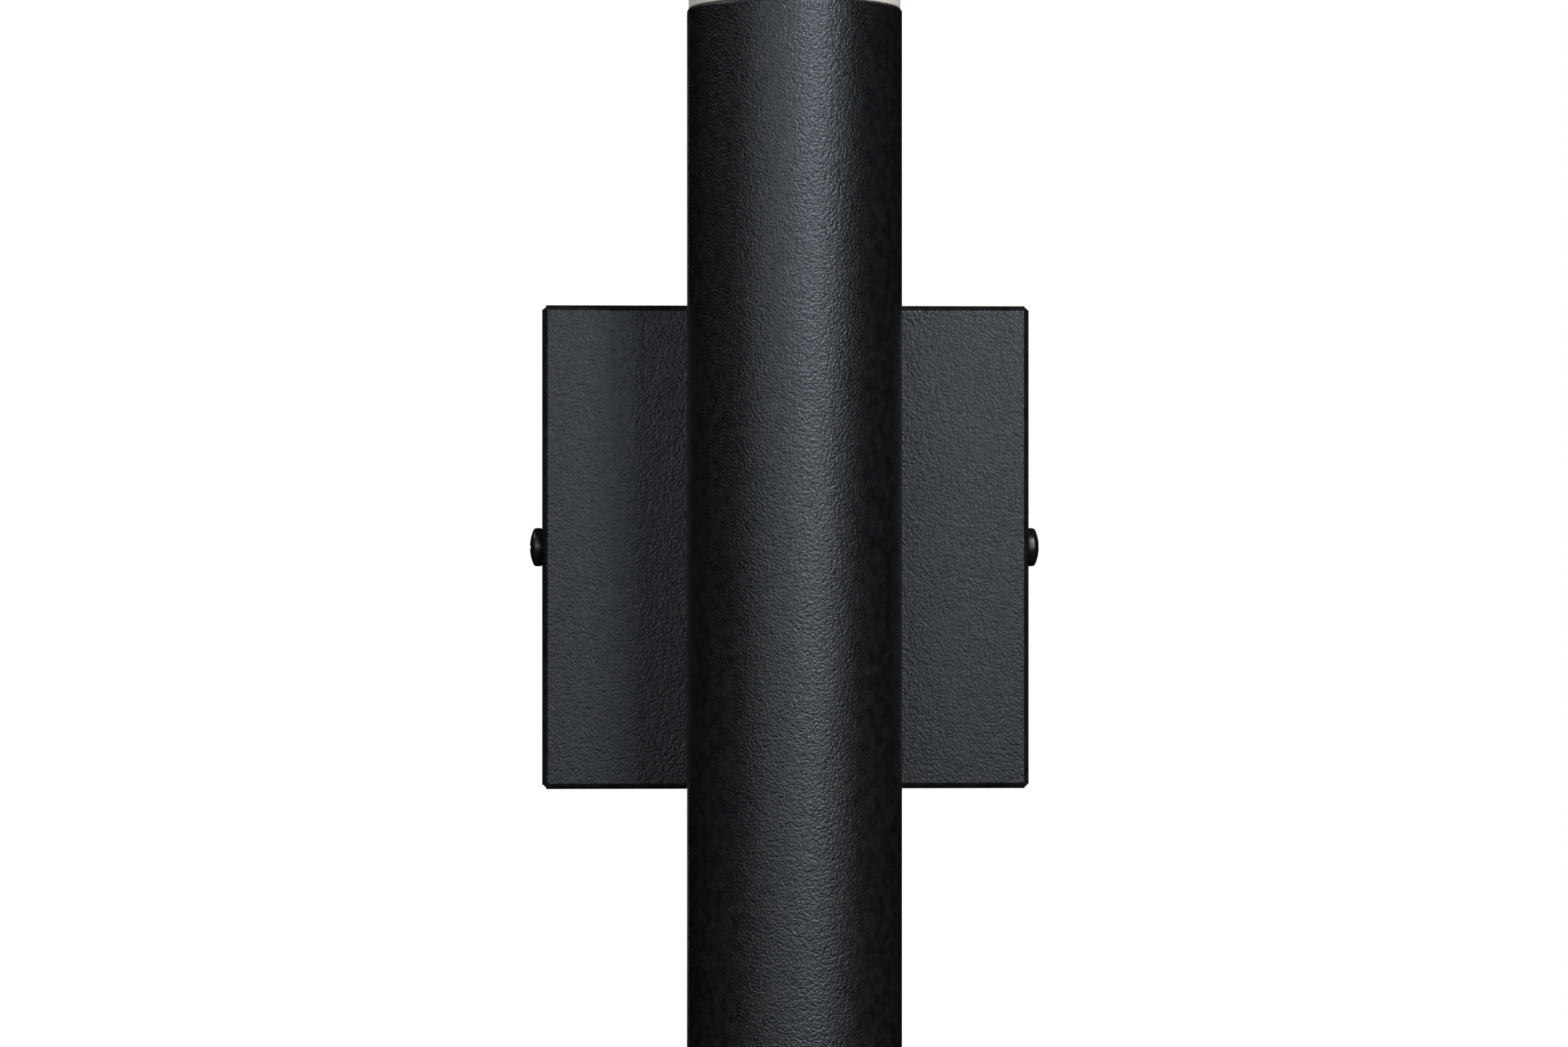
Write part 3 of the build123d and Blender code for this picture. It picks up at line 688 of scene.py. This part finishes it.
zinc = zinc_plate()
dress("wall_bracket", "stamped_bracket", zinc, soften=stamped_edge)
dress("ground_washer", "earth_washer", zinc, soften=washer_edge)
low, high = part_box("ground_screw")
length = high.y - low.y - m4_head_height
outline = pan_head_outline(m4_head, m4_head_height, m4_rim_rounding)
shape = screw_shape("earth_screw", outline, m4_thread, m4_pitch, length, length, m4_head)
middle = middle_of("ground_screw")
place = (middle.x, low.y + m4_head_height, middle.z)
drive_screws("green_earth_screw", shape, [place], (0, -1, 0), 5, green_dyed_zinc(), "ground_screw")

# ============================================================
# Backing plate, snap bushing, arm screws and spring washers
# Behind the canopy's front a zinc plated plate spreads the load of the two long M5 screws
# that hold the arm. A black nylon bushing snaps through both for the supply wires.
# ============================================================
moulded_edge = 0.25 * mm
arm_screw_thread_length = 16 * mm


def black_nylon():
    """Moulded nylon: black, faintly warm, with the soft shine of a spark-eroded mould."""
    finish, shader = new_finish("moulded_black_nylon", {"Base Color": linear("#1C1B1B"), "IOR": 1.53})
    add_grain(shader, 0.4 * mm, 0.01 * mm, roughness=(0.42, 0.58))
    return finish


dress("backing_plate", "reinforcing_plate", zinc, soften=stamped_edge)
dress("wire_bushing", "snap_bushing", black_nylon(), soften=moulded_edge)
dress("arm_lock_washers", "spring_washers", zinc, soften=washer_edge)
low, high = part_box("arm_screws")
length = high.y - low.y - m5_head_height
shape = screw_shape("arm_screw", m5_pan_head, m5_thread, m5_pitch, length, arm_screw_thread_length, m5_head)
places = [(0, high.y - m5_head_height, z + side * m5_head / 2) for z, side in ((low.z, 1), (high.z, -1))]
drive_screws("long_arm_screws", shape, places, (0, 1, 0), 11, zinc, "arm_screws")

# ============================================================
# Arm
# An aluminium casting with an oblong outline, hollow from behind, whose saddle beds the
# sleeve. It is powder coated with the canopy and sleeve.
# ============================================================
cast_edge = 0.4 * mm

dress("arm", "cast_arm", canopy_coat, soften=cast_edge)

# ============================================================
# Clamp plate, driver channel and their screws
# Inside the sleeve an aluminium plate, milled to the bore on one side and tapped, draws the
# sleeve onto the arm. Two flush screws hold the driver's channel on it.
# ============================================================
milled_edge = 0.3 * mm
m3_thread = 3.0 * mm
m3_pitch = 0.5 * mm
m3_head = 5.5 * mm
countersunk_lip = 0.15 * mm


def countersunk_outline(head, thread):
    """Outline of a flat 90 degree countersunk head, flush with height 0."""
    lip = countersunk_lip
    outline = [(0, 0), (head / 2 - lip / 2, 0), (head / 2, -lip / 2), (head / 2, -lip)]
    return outline + [(thread / 2, -lip - (head - thread) / 2)]


def mill_aluminium():
    """Bare extruded aluminium: soft bright metal with fine die lines along its length."""
    finish, shader = new_finish("mill_finish_aluminium", {"Metallic": 1.0})
    add_tint(shader, 20 * mm, ("#C8CACC", "#D8D8D6"))
    add_grain(shader, 0.5 * mm, 0.006 * mm, stretch=(1, 1, 0.04), roughness=(0.28, 0.46))
    return finish


aluminium = mill_aluminium()
dress("clamp_plate", "saddle_clamp", aluminium, soften=milled_edge)
dress("driver_tray", "driver_channel", aluminium, soften=stamped_edge)
low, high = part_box("tray_screws")
length = high.y - low.y
outline = countersunk_outline(m3_head, m3_thread)
shape = screw_shape("flush_screw", outline, m3_thread, m3_pitch, length, length, m3_head)
places = [(0, low.y, z + side * m3_head / 2) for z, side in ((low.z, 1), (high.z, -1))]
drive_screws("flush_channel_screws", shape, places, (0, -1, 0), 17, zinc, "tray_screws")

# ============================================================
# Driver and its screws
# A driver potted in a white ABS case, with a thin ear at each end that a pan head screw
# holds to the channel.
# ============================================================
case_edge = 0.5 * mm
m3_head_height = 1.9 * mm
m3_rim_rounding = 0.3 * mm


def moulded_white_abs():
    """White ABS from a spark-eroded mould: an even, faintly warm white with a low sheen."""
    finish, shader = new_finish("moulded_white_abs", {"IOR": 1.54})
    add_tint(shader, 25 * mm, ("#E2E1DC", "#E8E7E3"))
    add_grain(shader, 0.5 * mm, 0.012 * mm, roughness=(0.48, 0.62))
    return finish


def m3_pan_screw(length):
    """An M3 pan head screw, threaded up to its head."""
    head = pan_head_outline(m3_head, m3_head_height, m3_rim_rounding)
    return screw_shape("m3_pan_screw", head, m3_thread, m3_pitch, length, length, m3_head)


white_abs = moulded_white_abs()
dress("driver", "potted_driver", white_abs, soften=case_edge)
low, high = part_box("driver_screws")
head_y = low.y + m3_head_height
places = [(corner.x + side * m3_head / 2, head_y, corner.z + side * m3_head / 2)
          for corner, side in ((high, -1), (low, 1))]
shape = m3_pan_screw(high.y - head_y)
drive_screws("driver_pan_screws", shape, places, (0, -1, 0), 23, zinc, "driver_screws")

# ============================================================
# Sleeve
# A length of steel tube, cut square and deburred, in the same black powder coat. Its rear
# holes lie under the arm and under the heat sink screws' heads.
# ============================================================
sleeve_wall = 1.5 * mm
rim_round = 0.9 * mm
bore_edge = 0.2 * mm
rim_steps = 8
tube_steps = 160
sink_screw_hole = 3.6 * mm
wire_way = 10.0 * mm

axis_y = middle_of("sleeve").y
sleeve_radius, _, rim_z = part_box("sleeve")[1]
bore_radius = sleeve_radius - sleeve_wall


def about_axis(name, outline, steps=tube_steps):
    """A piece turned about the sleeve's axis."""
    return turned(name, outline, steps, Matrix.Translation((0, axis_y, 0)))


upper_rim = round_corner((sleeve_radius - rim_round, rim_z - rim_round), rim_round, 0, 90, rim_steps)
upper_rim += round_corner((bore_radius + bore_edge, rim_z - bore_edge), bore_edge, 90, 180, 3)
lower_rim = [(r, -z) for r, z in reversed(upper_rim)]
sleeve_mesh = about_axis("sleeve", upper_rim + lower_rim)
sink_screw_z = middle_of("heat_sink_screw_top").z
rear_holes = [drill(wire_way, (0, axis_y, 0), (0, 0, 0))]
for height, diameter in ((arm_screw_height, screw_hole), (sink_screw_z, sink_screw_hole)):
    for z in (height, -height):
        rear_holes.append(drill(diameter, (0, axis_y, z), (0, 0, z)))
sleeve_coat = black_powder_coat("fine_texture_black_powder_coat_on_tube", specular=0.72, grain=0.23 * mm)
seat(add_object("tube_sleeve", cut_away(sleeve_mesh, rear_holes)), sleeve_coat, "sleeve", sharp_over=60)

# ============================================================
# Heat sinks and the screws that hold them
# At each end a turned aluminium disc fills the sleeve's bore, on a core with radial fins.
# A blackened M3 screw through the sleeve's rear holds it.
# ============================================================
fin_count = 12
fin_thickness = 1.2 * mm
sink_disc = 8.0 * mm
sink_core = 14.0 * mm
sink_edge = 0.4 * mm
fin_sunk = 0.2 * mm
fin_edge = 0.15 * mm
lead_hole = 6.0 * mm
lead_radius = 0.7 * mm
board_screw_circle = 32.0 * mm
board_screw_count = 3
board_screw_grip = 5.0 * mm
ends = (("top", 1), ("bottom", -1))


def around_axis(diameter, count, z, first=1.0):
    """Places on a circle about the sleeve's axis. With first at 1, the last is the nearest the wall."""
    axis = Vector((0, axis_y, 0))
    return [axis + about_z(diameter / 2, radians(90 + 360 * (i + first) / count), z) for i in range(count)]


def end_over(mesh, side):
    """The mesh as it is for the upper end, or turned over for the lower end, its faces still outwards."""
    if side < 0:
        mesh.transform(Matrix.Diagonal((1, 1, -1, 1)))
        mesh.flip_normals()
    return mesh


def ring_row():
    """Geometry tree: sets a part at every point, with its X turned away from the axis."""
    tree, given = group_tree("ring_row", {
        "Points": "NodeSocketGeometry", "Part": "NodeSocketObject", "Axis": "NodeSocketVector",
        "Finish": "NodeSocketMaterial"})
    part = add_node(tree, "GeometryNodeObjectInfo", {"Object": given["Part"]})
    place = add_node(tree, "GeometryNodeInputPosition")
    outwards = add_node(tree, "ShaderNodeVectorMath", {
        0: place.outputs["Position"], 1: given["Axis"]}, operation="SUBTRACT")
    level = add_node(tree, "ShaderNodeVectorMath", {
        0: outwards.outputs["Vector"], 1: (1, 1, 0)}, operation="MULTIPLY")
    facing = add_node(tree, "FunctionNodeAlignRotationToVector", {
        "Vector": level.outputs["Vector"]}, axis="X", pivot_axis="Z")
    ring = add_node(tree, "GeometryNodeInstanceOnPoints", {
        "Points": given["Points"], "Instance": part.outputs["Geometry"],
        "Rotation": facing.outputs["Rotation"]})
    return close_tree(tree, ring, given["Finish"])


def set_ring(name, part_mesh, places, finish, *nodes, **how):
    """Sets copies of a part round the sleeve's axis, and seats them as one piece."""
    pattern = add_object("ring_pattern", part_mesh)
    ring = grow(name, ring_row_tree, {"Part": pattern, "Axis": (0, axis_y, 0), "Finish": finish}, places)
    bpy.data.objects.remove(pattern)
    seat(ring, None, *nodes, **how)


def brick(name, low, high):
    """A square block between two corners."""
    rings = [[(low[0], low[1], z), (high[0], low[1], z), (high[0], high[1], z), (low[0], high[1], z)]
             for z in (low[2], high[2])]
    return loft(name, rings)


ring_row_tree = ring_row()
heat_sink_low, heat_sink_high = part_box("heat_sink_top")
sink_radius = heat_sink_high.x
sink_z = heat_sink_high.z
disc_z = sink_z - sink_disc
fin_reach = sqrt(sink_radius ** 2 - (fin_thickness / 2) ** 2)
fin_circle = sink_core / 2 + fin_reach - fin_sunk
fin_half = (fin_reach - sink_core / 2 + fin_sunk) / 2
lead_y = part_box("led_leads_top")[1].y - lead_radius
for end, side in ends:
    outline = [
        (0, heat_sink_low.z), (sink_core / 2, heat_sink_low.z), (sink_core / 2, disc_z),
        (sink_radius - sink_edge, disc_z), (sink_radius, disc_z + sink_edge),
        (sink_radius, sink_z - sink_edge), (sink_radius - sink_edge, sink_z), (0, sink_z)]
    disc = about_axis("heat_sink_disc", outline, steps=96)
    holes = [drill(lead_hole, (0, lead_y, disc_z - sink_disc), (0, lead_y, sink_z + sink_disc))]
    for x, y, _ in around_axis(board_screw_circle, board_screw_count, sink_z):
        holes.append(drill(m3_thread, (x, y, sink_z - board_screw_grip), (x, y, sink_z + sink_disc)))
    disc = end_over(cut_away(disc, holes), side)
    seat(add_object(f"heat_sink_disc_{end}", disc), aluminium, f"heat_sink_{end}")
    fin = brick("fin", (-fin_half, -fin_thickness / 2, heat_sink_low.z),
                (fin_half, fin_thickness / 2, disc_z + fin_sunk))
    places = around_axis(fin_circle, fin_count, 0, first=0.5)
    set_ring(f"heat_sink_fins_{end}", end_over(fin, side), places, aluminium, f"heat_sink_{end}",
             soften=fin_edge)
    low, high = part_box(f"heat_sink_screw_{end}")
    head_y = high.y - m3_head_height
    place = (0, head_y, side * sink_screw_z)
    drive_screws(f"sink_screw_{end}", m3_pan_screw(head_y - low.y), [place], (0, 1, 0), 29 + side,
                 black_oxide, f"heat_sink_screw_{end}")

# ============================================================
# Thermal pads and LED boards
# A soft blue-grey silicone pad, then a round aluminium-core board with white solder resist.
# Three pan head screws press both against the disc.
# ============================================================
board_edge = 0.1 * mm


def silicone_pad():
    """Filled silicone sheet: soft, dull and blue-grey, with a faint mottle from its liner."""
    finish, shader = new_finish("filled_silicone_pad", {"IOR": 1.43})
    add_tint(shader, 6 * mm, ("#6F7D8E", "#788697"))
    add_grain(shader, 0.3 * mm, 0.01 * mm, roughness=(0.62, 0.78))
    return finish


def white_solder_resist():
    """White solder resist printed on the board: bright and silky, a little uneven over the copper."""
    finish, shader = new_finish("white_solder_resist", {"IOR": 1.55})
    add_tint(shader, 3 * mm, ("#E7E7E2", "#EDEDEA"))
    add_grain(shader, 0.8 * mm, 0.006 * mm, roughness=(0.36, 0.48))
    return finish


pad_silicone = silicone_pad()
solder_resist = white_solder_resist()
for end, side in ends:
    dress(f"thermal_pad_{end}", f"silicone_pad_{end}", pad_silicone)
    dress(f"led_board_{end}", f"round_board_{end}", solder_resist, soften=board_edge)
    low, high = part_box(f"board_screws_{end}")
    outer_z, inner_z = (high.z, low.z) if side > 0 else (low.z, high.z)
    head_z = outer_z - side * m3_head_height
    places = around_axis(board_screw_circle, board_screw_count, head_z)
    drive_screws(f"board_screw_ring_{end}", m3_pan_screw(abs(head_z - inner_z)), places, (0, 0, side),
                 37 + side, zinc, f"board_screws_{end}")

# ============================================================
# LED packages, terminals and leads
# Eleven square white packages on a circle, each a cup of yellow phosphor in clear silicone.
# The twelfth place faces the leads, which come up through the disc into a push-in terminal.
# ============================================================
chip_circle = 20.0 * mm
chip_places = 12
chip_size = 3.0 * mm
chip_height = 0.7 * mm
cup_diameter = 2.5 * mm
cup_depth = 0.3 * mm
package_edge = 0.08 * mm
fill_draft = 0.12 * mm
fill_sag = 0.03 * mm
terminal_button = (1.1 * mm, 1.6 * mm)
terminal_button_depth = 0.6 * mm
terminal_entry = 1.9 * mm
terminal_entry_depth = 1.0 * mm
terminal_edge = 0.12 * mm
cut_over = 1.0 * mm
lead_spacing = 2.6 * mm
lead_bend = 2.4 * mm
lead_bend_steps = 10
lead_steps = 20


def silicone_over_phosphor():
    """Yellow phosphor in clear silicone: deep yellow under a wet-looking gloss."""
    finish, shader = new_finish("phosphor_in_silicone", {
        "IOR": 1.41, "Subsurface Weight": 0.35, "Subsurface Scale": 0.4 * mm})
    add_tint(shader, 0.5 * mm, ("#E5B73A", "#EFC552"))
    add_grain(shader, 0.25 * mm, 0.003 * mm, roughness=(0.12, 0.22))
    return finish


def silicone_insulation():
    """Extruded silicone insulation: matt, slightly translucent off-white."""
    finish, shader = new_finish("silicone_lead_insulation", {
        "IOR": 1.41, "Subsurface Weight": 0.3, "Subsurface Scale": 0.6 * mm})
    add_tint(shader, 4 * mm, ("#DAD7CE", "#E3E0D8"))
    add_grain(shader, 0.4 * mm, 0.006 * mm, stretch=(1, 1, 0.2), roughness=(0.48, 0.62))
    return finish


def square_ring(half, height):
    """Points of a square about local Z, in line with those of a bar ring turned by half a step."""
    ring = []
    for i in range(round_steps):
        angle = 2 * pi * (i + 0.5) / round_steps
        reach = half / max(abs(cos(angle)), abs(sin(angle)))
        ring.append(about_z(reach, angle, height))
    return ring


def joined(name, meshes):
    """Several meshes as one."""
    whole = bmesh.new()
    for mesh in meshes:
        whole.from_mesh(mesh)
    mesh = bpy.data.meshes.new(name)
    whole.to_mesh(mesh)
    whole.free()
    return mesh


def lead(x, low_z, bend_middle, end_y):
    """A tube up beside the driver, round a quarter turn and level into the terminal."""
    route = [(Vector((x, lead_y, low_z)), 0)]
    for i in range(lead_bend_steps + 1):
        angle = radians(90) * i / lead_bend_steps
        route.append((bend_middle + Vector((x, lead_bend * cos(angle), lead_bend * sin(angle))), angle))
    route.append((Vector((x, end_y, bend_middle.z + lead_bend)), radians(90)))
    rings = []
    for middle, turn in route:
        outwards = Vector((0, cos(turn), sin(turn)))
        rings.append([middle + lead_radius * (Vector((cos(a), 0, 0)) + outwards * sin(a))
                      for a in (2 * pi * i / lead_steps for i in range(lead_steps))])
    return loft("lead", rings)


phosphor = silicone_over_phosphor()
insulation = silicone_insulation()
cup_floor = chip_height - cup_depth
package_rings = [
    square_ring(chip_size / 2, 0), square_ring(chip_size / 2, chip_height - package_edge),
    square_ring(chip_size / 2 - package_edge, chip_height),
    bar_ring(cup_diameter / 2, chip_height, first=0.5),
    bar_ring(cup_diameter / 2 - cup_depth / 2, cup_floor, first=0.5)]
fill_outline = [
    (0, cup_floor), (cup_diameter / 2 - fill_draft, cup_floor),
    (cup_diameter / 2, chip_height - fill_sag), (cup_diameter / 3, chip_height - fill_sag / 3),
    (0, chip_height)]
terminal_low, terminal_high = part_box("led_terminal_top")
terminal_middle = middle_of("led_terminal_top")
button_x, button_y = Vector(terminal_button) / 2
lead_low, lead_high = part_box("led_leads_top")
bend_middle = Vector((0, lead_y - lead_bend, lead_high.z - lead_radius - lead_bend))
for end, side in ends:
    low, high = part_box(f"led_chips_{end}")
    places = around_axis(chip_circle, chip_places, low.z if side > 0 else high.z)[:-1]
    package = end_over(loft("package", package_rings), side)
    set_ring(f"led_packages_{end}", package, places, white_abs, f"led_chips_{end}")
    fill = end_over(turned("phosphor", fill_outline, round_steps), side)
    set_ring(f"phosphor_fills_{end}", fill, places, phosphor, f"led_chips_{end}")
    cutters = []
    for x in (-lead_spacing / 2, lead_spacing / 2):
        y, z = terminal_high.y, terminal_middle.z
        cutters.append(drill(terminal_entry, (x, y - terminal_entry_depth, z), (x, y + cut_over, z), 24))
        y, z = terminal_middle.y, terminal_high.z
        cutters.append(brick("button", (x - button_x, y - button_y, z - terminal_button_depth),
                             (x + button_x, y + button_y, z + cut_over)))
    terminal = end_over(cut_away(brick("terminal", terminal_low, terminal_high), cutters), side)
    seat(add_object(f"push_in_terminal_{end}", terminal), white_abs, f"led_terminal_{end}",
         soften=terminal_edge)
    pair = [lead(x, lead_low.z, bend_middle, lead_low.y) for x in (-lead_spacing / 2, lead_spacing / 2)]
    pair = end_over(joined("lead_pair", pair), side)
    seat(add_object(f"lead_pair_{end}", pair), insulation, f"led_leads_{end}")

# ============================================================
# Diffusers
# An opal acrylic cup with a frosted skin at each end, turned down to a spigot that plugs into
# the sleeve. It pulls off by hand against its seal.
# ============================================================
diffuser_wall = 4.0 * mm
diffuser_cap = 4.0 * mm
diffuser_round = 2.0 * mm
diffuser_inside_round = 1.0 * mm
spigot_gap = 0.3 * mm
shoulder_edge = 0.2 * mm
groove_side = 0.2 * mm


def opal_acrylic():
    """Frosted opal acrylic: milky and warm, with light that soaks in and a faint mottle in its skin."""
    finish, shader = new_finish("frosted_opal_acrylic", {
        "IOR": 1.49, "Subsurface Weight": 0.6, "Subsurface Radius": (1.0, 0.9, 0.8),
        "Subsurface Scale": 2.5 * mm})
    add_tint(shader, 1.2 * mm, ("#D6CFC7", "#DBD5CD"))
    add_grain(shader, 0.5 * mm, 0.012 * mm, roughness=(0.44, 0.58))
    return finish


opal = opal_acrylic()
diffuser_low, diffuser_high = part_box("diffuser_top")
seal_low, seal_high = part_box("diffuser_seal_top")
seal_section = seal_high.z - seal_low.z
diffuser_radius = diffuser_high.x
diffuser_bore = diffuser_radius - diffuser_wall
spigot_radius = bore_radius - spigot_gap
groove_radius = seal_high.x - seal_section
tip_z = diffuser_high.z
end_corner = round_corner(
    (diffuser_radius - diffuser_round, tip_z - diffuser_round), diffuser_round, 90, 0, 8)
inner_corner = round_corner(
    (diffuser_bore - diffuser_inside_round, tip_z - diffuser_cap - diffuser_inside_round),
    diffuser_inside_round, 0, 90, 5)
cup_outline = [(0, tip_z)] + end_corner + [
    (diffuser_radius, rim_z + shoulder_edge), (diffuser_radius - shoulder_edge, rim_z),
    (spigot_radius, rim_z), (spigot_radius, seal_high.z + groove_side),
    (groove_radius, seal_high.z + groove_side), (groove_radius, seal_low.z - groove_side),
    (spigot_radius, seal_low.z - groove_side), (spigot_radius, diffuser_low.z + shoulder_edge),
    (spigot_radius - shoulder_edge, diffuser_low.z), (diffuser_bore, diffuser_low.z),
] + inner_corner + [(0, tip_z - diffuser_cap)]
for end, side in ends:
    cup = about_axis("diffuser", cup_outline)
    seat(add_object(f"opal_cup_{end}", end_over(cup, side)), opal, f"diffuser_{end}", sharp_over=50)

# ============================================================
# Seals
# A black EPDM rubber ring of square section, its corners softened, in each spigot's groove.
# It grips the sleeve's bore.
# ============================================================
seal_edge = 0.3 * mm


def epdm_rubber():
    """Black EPDM: deep, slightly brown black, dull, with a soft bloom."""
    finish, shader = new_finish("black_epdm_rubber", {"IOR": 1.5})
    add_tint(shader, 5 * mm, ("#1B1A19", "#222120"))
    add_grain(shader, 0.3 * mm, 0.008 * mm, roughness=(0.64, 0.80))
    return finish


rubber = epdm_rubber()
outer_r = seal_high.x - seal_edge
inner_r = groove_radius + seal_edge
upper_z = seal_high.z - seal_edge
lower_z = seal_low.z + seal_edge
seal_outline = []
corners = ((outer_r, upper_z), (inner_r, upper_z), (inner_r, lower_z), (outer_r, lower_z))
for i, corner in enumerate(corners):
    seal_outline += round_corner(corner, seal_edge, 90 * i, 90 * i + 90, 3)
for end, side in ends:
    ring = end_over(about_axis("seal", seal_outline, steps=128), side)
    seat(add_object(f"seal_ring_{end}", ring), rubber, f"diffuser_seal_{end}", sharp_over=60)
